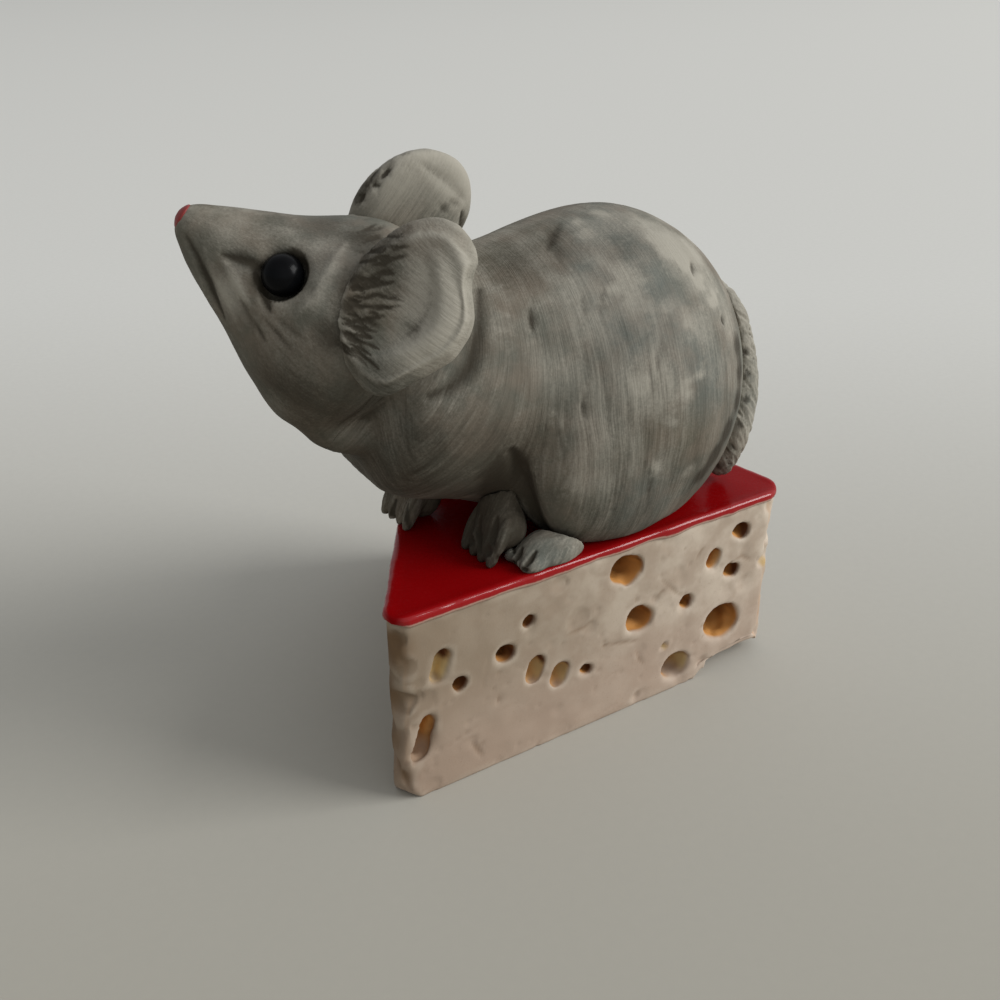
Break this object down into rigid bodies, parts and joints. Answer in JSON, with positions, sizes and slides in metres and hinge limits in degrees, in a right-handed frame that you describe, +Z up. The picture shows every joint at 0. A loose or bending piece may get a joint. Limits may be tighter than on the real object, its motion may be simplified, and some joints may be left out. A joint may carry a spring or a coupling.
{
  "type": "mouse figurine",
  "caption": "Hand-modelled mouse sitting on a wedge of holed cheese with a red wax top, a free-standing tabletop ornament",
  "frame": {"origin": "on the flat underside of the cheese wedge, on the line that halves the wedge's plan angle", "axes": "+Z up; the mouse faces -X with its left side towards -Y; the wedge's front cut face runs along X and its sharp edge points to -X and -Y"},
  "size_m": [0.0592, 0.0448, 0.059],
  "materials": {
    "fur": "matte brown-grey paint over scored fur strokes, dry-brushed pale grey",
    "paw": "matte dark grey-brown paint, paler on the toes",
    "cheese": "matte cream paint, rough and chipped, ochre inside the holes",
    "wax": "glossy deep red varnish",
    "bead": "polished black",
    "nose": "satin dull red paint"
  },
  "bodies": {
    "root": {"cheese_wedge": "cheese", "wax_rind": "wax", "torso": "fur", "head": "fur", "left_eye": "bead", "right_eye": "bead", "nose_tip": "nose", "left_ear": "fur", "right_ear": "fur", "left_haunch": "fur", "right_haunch": "fur", "left_hind_foot": "paw", "right_hind_foot": "paw", "left_front_paw": "paw", "right_front_paw": "paw", "tail": "fur"}
  },
  "joints": []
}
